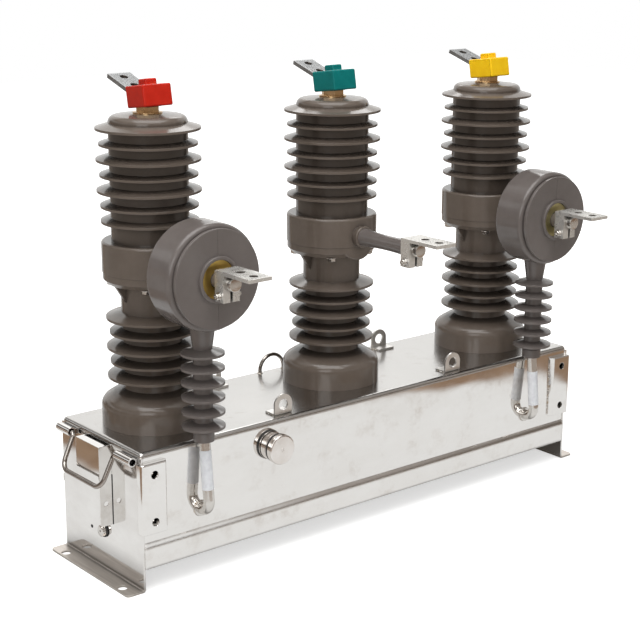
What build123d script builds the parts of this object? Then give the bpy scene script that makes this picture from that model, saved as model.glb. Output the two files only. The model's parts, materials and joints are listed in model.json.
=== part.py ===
"""Outdoor vacuum circuit breaker: a sheet-steel box on foot flanges that carries three insulated poles.

Millimetres, +Z up. The origin is on the ground at the centre of the foot bolt pattern,
+X runs along the box and -Y is the load side.
"""
import math
import os

from build123d import *

# Box and its sheets
box_length = 882.0
box_depth = 213.0
box_height = 209.0
lid_height = 7.0
lid_roll = 6.0
lid_roll_limit_share = 0.9
sheet = 3.0
thin_sheet = 2.0
pan_bottom = 35.0
pan_shoulder = 66.0
pan_top = 74.0
pan_proud = 3.5
pan_round = 6.0
fit = 0.3
overrun = 5.0

# Foot flanges of the end plates
end_plate_proud = 1.5
foot_reach = 28.0
foot_bend = 2.0
foot_corner = 6.0
foot_hole_radius = 7.5
foot_hole_spacing = 158.0
foot_hole_inset = 10.0

# Corner brackets on the front wall
bracket_width = 37.0
bracket_rise = 15.0
bracket_drop = 8.0
bracket_proud = 8.0
bracket_slant = 5.0
bracket_hole_radius = 6.0
bracket_hole_inset = 17.0
bracket_roll = 2.0
bracket_bend = 2.0
bracket_lap = 7.0

# Lifting lugs and the rear ring
lug_width = 33.0
lug_height = 32.0
lug_eye_radius = 8.5
lug_flange = 23.0
lug_bend = 3.0
lug_spacing = 354.0
lug_inset = 13.5
ring_radius = 24.0
ring_rod = 3.0
ring_leg = 4.0
ring_side_gap = 27.0
ring_clearance = 5.0
ring_inset = 10.5

# Bail handle, its knuckles and the hood on the left end
handle_y = 3.0
handle_rod = 3.0
handle_top_half = 56.0
handle_bottom_half = 54.0
handle_drop = 54.0
handle_lean = 26.0
handle_top_bend = 8.0
handle_low_bend = 17.0
handle_pin = 24.0
knuckle_radius = 6.8
knuckle_stand = 8.5
knuckle_drop = 5.0
knuckle_clearance = 6.5
knuckle_inset = 8.0
knuckle_web = 8.0
knuckle_mouth_radius = 5.0
knuckle_mouth = 8.0
hood_width = 63.0
hood_height = 45.0
hood_depth = 21.0
hood_slot = 8.0
hood_y = 1.5
rib_length = 77.0
rib_hole_radius = 4.0
rib_hole_rise = 34.0
rib_corner = 4.0
plug_radius = 7.5
plug_proud = 3.0
plug_chamfer = 1.0
plug_y = -4.5
plug_height = 62.5

# Screw cap of the control connector
cap_offset = 134.0
cap_drop = 33.5
cap_base_radius = 21.0
cap_base = 5.0
cap_neck_radius = 19.0
cap_neck = 1.8
cap_ring_radius = 21.8
cap_ring = 3.6
cap_seal_radius = 19.6
cap_seal = 2.6
cap_radius = 22.9
cap_body = 9.0
cap_edge = 2.2

# Poles: lower insulator, collar and upper insulator
pole_inset = 101.0
base_radius = 77.5
base_wall = 36.0
base_height = 54.0
base_shoulder_radius = 58.0
base_round = 15.0
base_dip = 5.5
lower_core = 45.0
lower_large = 67.4
lower_small = 62.8
lower_first_rim = 72.0
lower_spacing = 22.0
lower_neck = 52.0
gusset_height = 26.0
gusset_width = 17.0
gusset_sheet = 5.0
collar_radius = 71.0
collar_height = 62.0
collar_chamfer = 7.0
collar_round = 4.0
collar_seam = 17.0
collar_step = 0.8
upper_core = 56.5
upper_large = 75.1
upper_small = 70.6
upper_first_rim = 90.0
upper_spacing = 22.1
upper_crown = 20.4
dome_round = 9.5
dome_rise = 3.0
dome_seat = 24.0
rim_half = 1.7
shed_top_slope_share = 0.30
shed_under_slope_share = 0.10
lower_sheds = "LSLSL"
upper_sheds = "SSLSLSL"

# Load-side arm, conductor and clamp
arm_rise = 33.0
boss_radius = 17.0
boss_proud = 9.0
boss_round = 2.5
bulge_radius = 38.0
bulge_round = 4.0
arm_radius = 12.6
arm_root_flare = 1.4
arm_waist = 1.2
arm_free = 6.3
rod_radius = 8.3
rod_tip = 26.5
rod_chamfer = 1.0
clamp_width = 27.4
clamp_depth = 19.5
clamp_below_axis = 26.0
clamp_slit = 4.0
pad_width = 39.0
pad_thickness = 5.0
pad_length = 78.0
pad_above_axis = 17.5
pad_corner = 2.0
pad_hole_radius = 6.5
pad_hole_spacing = 29.5
pad_hole_inset = 16.0

# Current transformers on the outer poles
drum_radius = 76.5
drum_thickness = 65.0
drum_round = 6.5
face_inset = 6.0
face_thickness = 5.0
face_round = 1.2
face_groove = 3.0
face_groove_depth = 3.5
bore_ring_wall = 5.5
bore_ring_proud = 4.5
bore_ring_round = 1.8
bore_radius = 27.5
bore_recess = 4.0
retainer_thickness = 4.0
tail_gap = 17.0
tail_stand = 10.5
tail_setback = 24.5
tail_core = 14.0
tail_shed_radius = 31.5
tail_first_rim = 22.0
tail_last_rim = 55.0
tail_count = 6
tail_collar_radius = 15.5
tail_collar = 14.0
tail_neck_radius = 21.0
tail_neck_sink = 18.0
tail_end_gap = 2.0

# Steel tubes from the transformer tails into the front wall
conduit_radius = 8.2
conduit_top_shift = 1.5
conduit_offset = 11.0
conduit_rise = 30.0
conduit_bend = 17.0
conduit_ring_radius = 11.5
conduit_ring = 3.0

# Line terminals on top of the poles and their covers
nut_flats = 31.0
nut_height = 10.0
nut_flange_radius = 21.0
nut_flange = 2.0
top_clamp_width = 28.0
top_clamp_height = 17.0
top_pad_width = 38.0
top_pad_thickness = 6.0
top_pad_reach = 73.0
top_pad_angle = 17.5
top_pad_hole_spacing = 29.5
top_pad_hole_inset = 14.0
cover_side = 44.0
cover_height = 31.0
cover_wall = 2.5
cover_round = 2.4
cover_lift = 1.0
cover_tilt = -9.0
cover_boss_side = 18.5
cover_boss_height = 8.5
cover_boss_round = 2.5
cover_slot_clearance = 0.4
cover_names = ("red", "green", "yellow")
cover_yaws = (-3.0, 2.0, 3.0)

# Levels and planes that follow from the sizes above
end_x = box_length / 2
inner_x = end_x - sheet
wall_y = box_depth / 2
plate_y = wall_y + end_plate_proud
lid_bottom = box_height - lid_height
bracket_bottom = pan_top + bracket_rise
bracket_height = lid_bottom - bracket_drop - bracket_bottom
lug_line = wall_y - lug_inset
knuckle_height = lid_bottom - knuckle_drop
knuckle_half_gap = handle_top_half + knuckle_clearance
hood_bottom = lid_bottom - hood_height
rib_bottom = hood_bottom - rib_length
cap_height = lid_bottom - cap_drop
conduit_height = pan_top + conduit_rise
tail_reach = base_radius + tail_gap + tail_shed_radius
pole_y = tail_reach - tail_stand - wall_y
ring_line = wall_y - ring_inset
lower_length = lower_first_rim + lower_spacing * (len(lower_sheds) - 1) + lower_neck
upper_length = upper_first_rim + upper_spacing * (len(upper_sheds) - 1) + upper_crown
seat_z = box_height + lower_length
arm_z = seat_z + arm_rise
pole_top = seat_z + upper_length
nut_top = pole_top + nut_height
boss_reach = collar_radius + boss_proud
drum_back = tail_reach - tail_setback
drum_front = drum_back + drum_thickness
arm_reach = drum_front + bore_ring_proud + arm_free
tail_end = box_height + tail_end_gap
pole_spacing = end_x - pole_inset
pole_xs = (-pole_spacing, 0, pole_spacing)
pole_names = ("left", "middle", "right")
sides = {"left": -1, "right": 1}
cap_x = cap_offset - pole_spacing
ring_gap_square = (base_radius + ring_clearance) ** 2 - (ring_line - pole_y) ** 2
ring_x = -ring_radius - ring_rod - math.sqrt(max(ring_side_gap ** 2, ring_gap_square))


def save(piece, label):
    piece.part.label = label
    export_step(piece.part, f"parts/{label}.step")


def upright(x, y):
    """Plane through a vertical axis: local x runs outward, local y runs up."""
    return Plane(origin=(x, y, 0), x_dir=(1, 0, 0), z_dir=(0, -1, 0))


def outward(x):
    """Plane through a load-side arm: local x runs out along the arm, local y runs up."""
    return Plane(origin=(x, pole_y, arm_z), x_dir=(0, -1, 0), z_dir=(-1, 0, 0))


def across(x, reach):
    """Plane square to a load-side arm at a distance from the pole axis, facing outward."""
    return Plane(origin=(x, pole_y - reach, arm_z), x_dir=(1, 0, 0), z_dir=(0, -1, 0))


def vertical_axis(x, y):
    return Axis((x, y, 0), (0, 0, 1))


def arm_axis(x):
    return Axis((x, pole_y, arm_z), (0, -1, 0))


def shed_outline(core, radii, first_rim, pitch):
    """Outline points of a row of sheds, from the lowest up, as (radius, height)."""
    points = []
    for index, radius in enumerate(radii):
        rim = first_rim + index * pitch
        overhang = radius - core
        points.append((core, rim - rim_half + overhang * shed_under_slope_share))
        points.append((radius, rim - rim_half))
        points.append((radius, rim + rim_half))
        points.append((core, rim + rim_half + overhang * shed_top_slope_share))
    return points


def nearest(section, x, y):
    """The vertex of a sketch's local outline that lies nearest to a point."""
    return section.vertices().sort_by_distance((x, y, 0))[0]


# Box: pan, housing and lid
def make_base_pan():
    low = wall_y + pan_proud
    with BuildPart() as pan:
        with BuildSketch(Plane.YZ) as section:
            with BuildLine():
                Polyline(
                    (-low, pan_bottom), (low, pan_bottom), (low, pan_shoulder), (wall_y, pan_top),
                    (-wall_y, pan_top), (-low, pan_shoulder), close=True,
                )
            make_face()
            for shoulder_y in (-low, low):
                fillet(nearest(section, shoulder_y, pan_shoulder), pan_round)
        extrude(amount=inner_x, both=True)
    return pan


def make_housing():
    height = lid_bottom - pan_top
    with BuildPart() as housing:
        with BuildSketch(Plane.XY.offset(pan_top)):
            Rectangle(2 * inner_x, box_depth)
        extrude(amount=height)
    return housing


def make_lid():
    with BuildPart() as lid:
        with BuildSketch(Plane.XY.offset(lid_bottom)):
            RectangleRounded(box_length, box_depth, lid_roll)
        extrude(amount=lid_height)
        fillet(lid.faces().sort_by(Axis.Z)[-1].edges(), min(lid_roll, lid_height * lid_roll_limit_share))
    return lid


# End plates with foot flanges
def make_knuckles():
    """Curled tubes on the left end plate in which the pins of the bail handle turn."""
    centre_x = -end_x - knuckle_stand
    knuckle_end = plate_y - knuckle_inset
    spans = ((-knuckle_end, handle_y - knuckle_half_gap), (handle_y + knuckle_half_gap, knuckle_end))
    with BuildPart() as knuckles:
        for start, stop in spans:
            with BuildSketch(Plane.XZ.offset(-stop)):
                with Locations((centre_x, knuckle_height)):
                    Circle(knuckle_radius)
                with Locations((-end_x, knuckle_height)):
                    Rectangle(knuckle_stand, knuckle_web, align=(Align.MAX, Align.CENTER))
                with Locations((centre_x, knuckle_height)):
                    Circle(handle_rod + fit, mode=Mode.SUBTRACT)
            extrude(amount=stop - start)
            for mouth_y, depth in ((start, -knuckle_mouth), (stop, knuckle_mouth)):
                with BuildSketch(Plane.XZ.offset(-mouth_y)):
                    with Locations((centre_x, knuckle_height)):
                        Circle(knuckle_mouth_radius)
                extrude(amount=depth, mode=Mode.SUBTRACT)
    return knuckles


def make_end_plate(side):
    knuckles = make_knuckles()
    outer = side * end_x
    inner = side * inner_x
    toe = side * (end_x + foot_reach)
    with BuildPart() as plate:
        with BuildSketch(Plane.XZ) as section:
            with BuildLine():
                Polyline(
                    (inner, 0), (toe, 0), (toe, sheet), (outer, sheet),
                    (outer, lid_bottom), (inner, lid_bottom), close=True,
                )
            make_face()
            fillet(nearest(section, inner, 0), foot_bend + sheet)
            fillet(nearest(section, outer, sheet), foot_bend)
        extrude(amount=plate_y, both=True)
        toes = plate.edges().filter_by(Axis.Z).group_by(Axis.X)[0 if side < 0 else -1]
        fillet(toes, foot_corner)
        with BuildSketch(Plane.XY):
            with Locations((toe - side * foot_hole_inset, 0)):
                with GridLocations(0, foot_hole_spacing, 1, 2):
                    Circle(foot_hole_radius)
        extrude(amount=sheet, mode=Mode.SUBTRACT)
        if side < 0:
            add(knuckles.part)
    return plate


# Front corner brackets
def make_bracket(side):
    web = -(wall_y + bracket_proud)
    edge = side * end_x
    outer = side * (end_x + sheet)
    inner = side * (end_x - bracket_width)
    root = side * (end_x - bracket_width - bracket_slant)
    lap_end = bracket_lap - plate_y
    bracket_top = bracket_bottom + bracket_height
    with BuildPart() as bracket:
        with BuildSketch(Plane.XY.offset(bracket_bottom)) as section:
            with BuildLine():
                Polyline(
                    (edge, lap_end), (outer, lap_end), (outer, web), (inner, web), (root, -wall_y),
                    (root + side * sheet, -wall_y), (inner + side * sheet, web + sheet),
                    (edge, web + sheet), close=True,
                )
            make_face()
            fillet(nearest(section, outer, web), bracket_bend + sheet)
            fillet(nearest(section, edge, web + sheet), bracket_bend)
        extrude(amount=bracket_height)
        with BuildSketch(Plane.XY.offset(bracket_top - sheet)) as flange:
            with BuildLine():
                Polyline(
                    (edge, lap_end), (outer, lap_end), (outer, web), (inner, web), (root, -wall_y),
                    (side * inner_x, -wall_y), (side * inner_x, -plate_y), (edge, -plate_y), close=True,
                )
            make_face()
            fillet(nearest(flange, outer, web), bracket_bend + sheet)
        extrude(amount=sheet)
        fillet(bracket.faces().sort_by(Axis.Z)[-1].edges().filter_by(Axis.X).sort_by(Axis.Y)[0], bracket_roll)
        with BuildSketch(Plane.XZ.offset(-web)):
            with Locations(((edge + inner) / 2, bracket_bottom + bracket_height / 2)):
                with GridLocations(0, bracket_height - 2 * bracket_hole_inset, 1, 2):
                    Circle(bracket_hole_radius)
        extrude(amount=-sheet, mode=Mode.SUBTRACT)
    return bracket


# Lifting lugs on the lid and the ring at its back edge
def make_lug(x_sign, y_sign):
    x = x_sign * lug_spacing / 2
    y = y_sign * lug_line
    half = lug_width / 2
    round_height = lug_height - half
    with BuildPart() as lug:
        with BuildSketch(Plane(origin=(x, y, box_height), x_dir=(1, 0, 0), z_dir=(0, -1, 0))):
            with BuildLine():
                Polyline((half, round_height), (half, 0), (-half, 0), (-half, round_height))
                ThreePointArc((-half, round_height), (0, lug_height), (half, round_height))
            make_face()
            with Locations((0, round_height)):
                Circle(lug_eye_radius, mode=Mode.SUBTRACT)
        extrude(amount=y_sign * sheet)
        with BuildSketch(Plane.XY.offset(box_height)):
            with Locations((x, y - y_sign * lug_flange / 2)):
                Rectangle(lug_width, lug_flange)
        extrude(amount=sheet)
        bottom = lug.edges().filter_by(Axis.X).group_by(Axis.Z)[0].sort_by(Axis.Y)
        fillet(bottom[0 if y_sign < 0 else -1], lug_bend)
    return lug


def make_rear_ring():
    plane = Plane(origin=(ring_x, ring_line, box_height), x_dir=(1, 0, 0), z_dir=(0, -1, 0))
    with BuildPart() as ring:
        with BuildLine(plane) as path:
            Line((-ring_radius, 0), (-ring_radius, ring_leg))
            RadiusArc((-ring_radius, ring_leg), (ring_radius, ring_leg), ring_radius)
            Line((ring_radius, ring_leg), (ring_radius, 0))
        with BuildSketch(Plane.XY.offset(box_height)):
            with Locations((ring_x - ring_radius, ring_line)):
                Circle(ring_rod)
        sweep(path=path.line)
    return ring


# Left end: handle, hood and plug
def make_handle():
    lean = math.radians(handle_lean)
    plane = Plane(
        origin=(-end_x - knuckle_stand, handle_y, knuckle_height),
        x_dir=(0, 1, 0),
        z_dir=(math.cos(lean), 0, -math.sin(lean)),
    )
    pin_end = knuckle_half_gap + handle_pin
    with BuildPart() as handle:
        with BuildLine(plane) as path:
            FilletPolyline(
                (-pin_end, 0), (-handle_top_half, 0), (-handle_bottom_half, -handle_drop),
                (handle_bottom_half, -handle_drop), (handle_top_half, 0), (pin_end, 0),
                radius=(handle_top_bend, handle_low_bend, handle_low_bend, handle_top_bend),
            )
        with BuildSketch(Plane(origin=path.line @ 0, z_dir=path.line % 0)):
            Circle(handle_rod)
        sweep(path=path.line)
    return handle


def make_hood():
    cheek = hood_y - hood_width / 2
    reach = end_x + hood_depth
    with BuildPart() as hood:
        with BuildSketch(Plane.YZ.offset(-end_x)):
            with Locations((hood_y, hood_bottom)):
                Rectangle(hood_width, hood_height, align=(Align.CENTER, Align.MIN))
        extrude(amount=-hood_depth)
        back = hood.faces().sort_by(Axis.X)[-1]
        bottom = hood.faces().sort_by(Axis.Z)[0]
        offset(amount=-thin_sheet, openings=[back, bottom])
        with BuildSketch(Plane.XY.offset(lid_bottom)):
            with Locations((-end_x, hood_y)):
                Rectangle(hood_slot, hood_width - 2 * thin_sheet, align=(Align.MAX, Align.CENTER))
        extrude(amount=-thin_sheet, mode=Mode.SUBTRACT)
        with BuildSketch(Plane.XZ.offset(-cheek)) as rib:
            with Locations((-reach, rib_bottom)):
                Rectangle(hood_depth, rib_length, align=(Align.MIN, Align.MIN))
            fillet(nearest(rib, -reach, rib_bottom), rib_corner)
            with Locations((-end_x - hood_depth / 2, rib_bottom + rib_hole_rise)):
                Circle(rib_hole_radius, mode=Mode.SUBTRACT)
        extrude(amount=-thin_sheet)
    return hood


def make_plug():
    with BuildPart() as plug:
        with BuildSketch(Plane.YZ.offset(-end_x)):
            with Locations((plug_y, plug_height)):
                Circle(plug_radius)
        extrude(amount=-plug_proud)
        chamfer(plug.faces().sort_by(Axis.X)[0].edges(), plug_chamfer)
    return plug


def make_connector_cap():
    plane = Plane(origin=(cap_x, -wall_y, cap_height), x_dir=(0, -1, 0), z_dir=(-1, 0, 0))
    neck_end = cap_base + cap_neck
    ring_end = neck_end + cap_ring
    seal_end = ring_end + cap_seal
    reach = seal_end + cap_body
    with BuildPart() as cap:
        with BuildSketch(plane) as section:
            with BuildLine():
                Polyline(
                    (0, 0), (0, cap_base_radius), (cap_base, cap_base_radius),
                    (cap_base, cap_neck_radius), (neck_end, cap_neck_radius),
                    (neck_end, cap_ring_radius), (ring_end, cap_ring_radius),
                    (ring_end, cap_seal_radius), (seal_end, cap_seal_radius),
                    (seal_end, cap_radius), (reach, cap_radius), (reach, 0), close=True,
                )
            make_face()
            fillet(nearest(section, reach, cap_radius), cap_edge)
        revolve(axis=Axis((cap_x, -wall_y, cap_height), (0, -1, 0)))
    return cap


# Poles
def make_pole_lower(x):
    radii = [lower_large if kind == "L" else lower_small for kind in lower_sheds]
    with BuildPart() as pole:
        with BuildSketch(upright(x, pole_y)) as section:
            first = box_height + lower_first_rim
            shoulder = box_height + base_wall
            with BuildLine():
                Polyline(
                    (0, box_height), (base_radius, box_height), (base_radius, shoulder),
                    (base_shoulder_radius, box_height + base_height - base_dip),
                    (lower_core, box_height + base_height),
                    *shed_outline(lower_core, radii, first, lower_spacing),
                    (lower_core, seat_z), (0, seat_z), close=True,
                )
            make_face()
            fillet(nearest(section, base_radius, shoulder), base_round)
        revolve(axis=vertical_axis(x, pole_y))
        for side in sides.values():
            with BuildSketch(upright(x, pole_y)):
                root = side * (lower_core - gusset_sheet)
                tip = side * (lower_core + gusset_width)
                wall = side * lower_core
                with BuildLine():
                    Polyline((root, seat_z), (tip, seat_z), (wall, seat_z - gusset_height),
                             (root, seat_z - gusset_height), close=True)
                make_face()
            extrude(amount=gusset_sheet / 2, both=True)
    return pole


def make_lobe(x):
    """Rounded swelling at the collar's foot, flush with its side, where the arm's conductor enters."""
    with BuildPart() as lobe:
        with BuildSketch(across(x, 0)):
            Circle(bulge_radius)
        extrude(amount=collar_radius)
        with BuildSketch(Plane(origin=(x, pole_y, arm_z))):
            Circle(collar_radius - collar_step - fit)
        extrude(amount=bulge_radius + overrun, both=True, mode=Mode.INTERSECT)
        fillet(lobe.edges().sort_by(Axis.Y)[0], bulge_round)
        with BuildSketch(Plane(origin=(x, pole_y, arm_z))):
            Circle(collar_radius)
        extrude(amount=bulge_radius, mode=Mode.SUBTRACT)
    return lobe


def make_pole_upper(x):
    lobe = make_lobe(x)
    radii = [upper_large if kind == "L" else upper_small for kind in upper_sheds]
    collar_top = seat_z + collar_height
    collar_foot = collar_radius - collar_step
    seam = seat_z + collar_seam
    shoulder = pole_top - dome_rise
    with BuildPart() as pole:
        with BuildSketch(upright(x, pole_y)) as section:
            with BuildLine():
                Polyline(
                    (0, seat_z), (collar_foot - collar_chamfer, seat_z),
                    (collar_foot, seat_z + collar_chamfer), (collar_foot, seam), (collar_radius, seam),
                    (collar_radius, collar_top), (upper_core, collar_top),
                    *shed_outline(upper_core, radii, seat_z + upper_first_rim, upper_spacing),
                    (upper_core, shoulder), (dome_seat, pole_top), (0, pole_top), close=True,
                )
            make_face()
            fillet(nearest(section, collar_radius, collar_top), collar_round)
            fillet(nearest(section, upper_core, shoulder), dome_round)
        revolve(axis=vertical_axis(x, pole_y))
        with BuildSketch(across(x, 0)):
            Circle(boss_radius)
        extrude(amount=boss_reach)
        fillet(pole.faces().sort_by(Axis.Y)[0].edges(), boss_round)
        add(lobe.part)
        with BuildSketch(Plane(origin=(x, pole_y, seat_z))):
            Circle(lower_core + fit)
        extrude(amount=-bulge_radius, mode=Mode.SUBTRACT)
    return pole


def make_arm(x):
    root = (boss_reach, arm_radius + arm_root_flare)
    middle = ((boss_reach + arm_reach) / 2, arm_radius - arm_waist)
    end = (arm_reach, arm_radius)
    with BuildPart() as arm:
        with BuildSketch(outward(x)):
            with BuildLine():
                Polyline(end, (arm_reach, 0), (boss_reach, 0), root)
                ThreePointArc(root, middle, end)
            make_face()
        revolve(axis=arm_axis(x))
    return arm


def make_conductor_rod(x):
    with BuildPart() as rod:
        with BuildSketch(across(x, arm_reach)):
            Circle(rod_radius)
        extrude(amount=rod_tip)
        chamfer(rod.faces().sort_by(Axis.Y)[0].edges(), rod_chamfer)
    return rod


def make_front_terminal(x):
    under_pad = pad_above_axis - pad_thickness
    with BuildPart() as terminal:
        with BuildSketch(across(x, arm_reach)):
            with Locations((0, -clamp_below_axis)):
                Rectangle(clamp_width, clamp_below_axis + under_pad, align=(Align.CENTER, Align.MIN))
            Circle(rod_radius + fit, mode=Mode.SUBTRACT)
            Rectangle(clamp_slit, clamp_below_axis, align=(Align.CENTER, Align.MAX), mode=Mode.SUBTRACT)
        extrude(amount=clamp_depth)
        with BuildSketch(Plane(origin=(x - clamp_width / 2, pole_y - arm_reach, arm_z + under_pad))):
            Rectangle(pad_width, pad_length, align=(Align.MIN, Align.MAX))
            with Locations((pad_width / 2, pad_hole_inset + pad_hole_spacing / 2 - pad_length)):
                with GridLocations(0, pad_hole_spacing, 1, 2):
                    Circle(pad_hole_radius, mode=Mode.SUBTRACT)
        extrude(amount=pad_thickness)
        tips = terminal.edges().filter_by(Axis.Z).group_by(Axis.Y)[0]
        fillet(tips, pad_corner)
    return terminal


# Current transformers, the discs in their bores and their steel tubes
def make_transformer(x):
    hole = arm_radius + fit
    ring = bore_radius + bore_ring_wall
    face_radius = drum_radius - face_inset
    face_back = drum_front - face_thickness
    groove_radius = face_radius - face_groove_depth
    shoulder = face_back - face_groove
    mouth = drum_front + bore_ring_proud
    floor = drum_front - bore_recess
    tail_y = pole_y - tail_reach
    first = tail_end + tail_first_rim
    top = arm_z - drum_radius + tail_neck_sink
    pitch = (top - tail_last_rim - first) / (tail_count - 1)
    radii = [tail_shed_radius] * tail_count
    with BuildPart() as transformer:
        with BuildSketch(outward(x)) as section:
            with BuildLine():
                Polyline(
                    (drum_back, hole), (drum_back, drum_radius), (shoulder, drum_radius),
                    (shoulder, groove_radius), (face_back, groove_radius), (face_back, face_radius),
                    (drum_front, face_radius), (drum_front, ring), (mouth, ring), (mouth, bore_radius),
                    (floor, bore_radius), (floor, hole), close=True,
                )
            make_face()
            fillet(nearest(section, drum_back, drum_radius), drum_round)
            fillet(nearest(section, shoulder, drum_radius), drum_round)
            fillet(nearest(section, drum_front, face_radius), face_round)
            fillet(nearest(section, mouth, ring), bore_ring_round)
            fillet(nearest(section, mouth, bore_radius), bore_ring_round)
        revolve(axis=arm_axis(x))
        with BuildSketch(upright(x, tail_y)):
            with BuildLine():
                Polyline(
                    (0, tail_end), (tail_collar_radius, tail_end),
                    (tail_collar_radius, tail_end + tail_collar), (tail_core, tail_end + tail_collar),
                    *shed_outline(tail_core, radii, first, pitch),
                    (tail_neck_radius, top), (0, top), close=True,
                )
            make_face()
        revolve(axis=vertical_axis(x, tail_y))
    return transformer


def make_retainer(x):
    with BuildPart() as retainer:
        with BuildSketch(across(x, drum_front - bore_recess)):
            Circle(bore_radius - fit)
            Circle(arm_radius + fit, mode=Mode.SUBTRACT)
        extrude(amount=retainer_thickness)
    return retainer


def make_conduit(x):
    top_y = pole_y - tail_reach - conduit_top_shift
    low_y = top_y - conduit_offset
    with BuildPart() as conduit:
        with BuildLine() as path:
            FilletPolyline(
                (x, -wall_y, conduit_height), (x, low_y, conduit_height), (x, top_y, tail_end),
                radius=conduit_bend,
            )
        with BuildSketch(Plane.XZ.offset(wall_y)):
            with Locations((x, conduit_height)):
                Circle(conduit_radius)
        sweep(path=path.line)
        with BuildSketch(Plane.XY.offset(tail_end)):
            with Locations((x, top_y)):
                Rectangle(2 * tail_collar_radius, 2 * tail_collar_radius)
        extrude(amount=overrun, mode=Mode.SUBTRACT)
        with BuildSketch(Plane.XZ.offset(wall_y)):
            with Locations((x, conduit_height)):
                Circle(conduit_ring_radius)
        extrude(amount=conduit_ring)
    return conduit


# Line terminals on top of the poles
def make_nut(x):
    with BuildPart() as nut:
        with BuildSketch(Plane(origin=(x, pole_y, pole_top))):
            Circle(nut_flange_radius)
        extrude(amount=nut_flange)
        with BuildSketch(Plane(origin=(x, pole_y, pole_top))):
            RegularPolygon(nut_flats / 2, 6, major_radius=False)
        extrude(amount=nut_height)
    return nut


def pad_plane(x):
    """Plane of a line pad's top face: origin at its far end, local y along its rise."""
    slope = math.radians(top_pad_angle)
    far_z = nut_top + top_clamp_height + top_pad_reach * math.tan(slope)
    return Plane(
        origin=(x, pole_y + top_pad_reach, far_z),
        x_dir=(1, 0, 0),
        z_dir=(0, -math.sin(slope), math.cos(slope)),
    )


def make_top_terminal(x):
    length = (top_pad_reach + top_clamp_width / 2) / math.cos(math.radians(top_pad_angle))
    with BuildPart() as terminal:
        with BuildSketch(pad_plane(x)):
            Rectangle(top_pad_width, length, align=(Align.CENTER, Align.MAX))
            with Locations((0, -top_pad_hole_inset - top_pad_hole_spacing / 2)):
                with GridLocations(0, top_pad_hole_spacing, 1, 2):
                    Circle(pad_hole_radius, mode=Mode.SUBTRACT)
        extrude(amount=-top_pad_thickness)
        with BuildSketch(Plane(origin=(x, pole_y, nut_top))):
            Rectangle(top_clamp_width, top_clamp_width)
        extrude(amount=top_clamp_height)
    return terminal


def make_cover(x, yaw):
    base = Plane(origin=(x, pole_y, nut_top - cover_lift)).rotated((cover_tilt, 0, yaw))
    slope_share = math.cos(math.radians(top_pad_angle))
    slot_floor = pad_plane(x).offset(-top_pad_thickness - cover_slot_clearance)
    slot_width = top_pad_width + 2 * cover_slot_clearance
    slot_length = (top_pad_reach + top_clamp_width / 2 + cover_wall) / slope_share
    notch_length = (top_pad_reach - cover_side / 2 + 2 * cover_wall) / slope_share
    with BuildPart() as cover:
        with BuildSketch(base):
            Rectangle(cover_side, cover_side)
        extrude(amount=cover_height)
        fillet(cover.edges(), cover_round)
        with BuildSketch(base.offset(cover_height)):
            RectangleRounded(cover_boss_side, cover_boss_side, cover_boss_round)
        extrude(amount=cover_boss_height)
        fillet(cover.faces().sort_by(Axis(base.origin, base.z_dir))[-1].edges(), cover_round)
        with BuildSketch(base):
            Rectangle(cover_side - 2 * cover_wall, cover_side - 2 * cover_wall)
        extrude(amount=cover_height - cover_wall, mode=Mode.SUBTRACT)
        with BuildSketch(slot_floor):
            Rectangle(slot_width, slot_length, align=(Align.CENTER, Align.MAX))
        extrude(amount=top_pad_thickness + 2 * cover_slot_clearance, mode=Mode.SUBTRACT)
        with BuildSketch(slot_floor):
            Rectangle(slot_width, notch_length, align=(Align.CENTER, Align.MAX))
        extrude(amount=cover_height, mode=Mode.SUBTRACT)
    return cover


os.makedirs("parts", exist_ok=True)

save(make_base_pan(), "base_pan")
save(make_housing(), "housing")
save(make_lid(), "lid")
for name, side in sides.items():
    save(make_end_plate(side), f"end_plate_{name}")
    save(make_bracket(side), f"corner_bracket_{name}")
    save(make_lug(side, -1), f"lifting_lug_front_{name}")
    save(make_lug(side, 1), f"lifting_lug_rear_{name}")
save(make_rear_ring(), "rear_ring")
save(make_handle(), "bail_handle")
save(make_hood(), "indicator_hood")
save(make_plug(), "end_plug")
save(make_connector_cap(), "connector_cap")
for name, x, colour, yaw in zip(pole_names, pole_xs, cover_names, cover_yaws):
    save(make_pole_lower(x), f"pole_lower_{name}")
    save(make_pole_upper(x), f"pole_upper_{name}")
    save(make_arm(x), f"bushing_arm_{name}")
    save(make_conductor_rod(x), f"conductor_rod_{name}")
    save(make_front_terminal(x), f"front_terminal_{name}")
    save(make_nut(x), f"terminal_nut_{name}")
    save(make_top_terminal(x), f"top_terminal_{name}")
    save(make_cover(x, yaw), f"terminal_cover_{colour}")
for name, side in sides.items():
    save(make_transformer(side * pole_spacing), f"current_transformer_{name}")
    save(make_retainer(side * pole_spacing), f"ct_retainer_{name}")
    save(make_conduit(side * pole_spacing), f"conduit_{name}")
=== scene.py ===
"""Looks of the outdoor vacuum circuit breaker: finishes, small fittings, studio and camera.

Metres, +Z up, in the frame of the solid model. -Y is the load side and -X the handle end.
"""
import json
import math
import random

import bmesh
import bpy
from mathutils import Matrix, Vector


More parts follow.
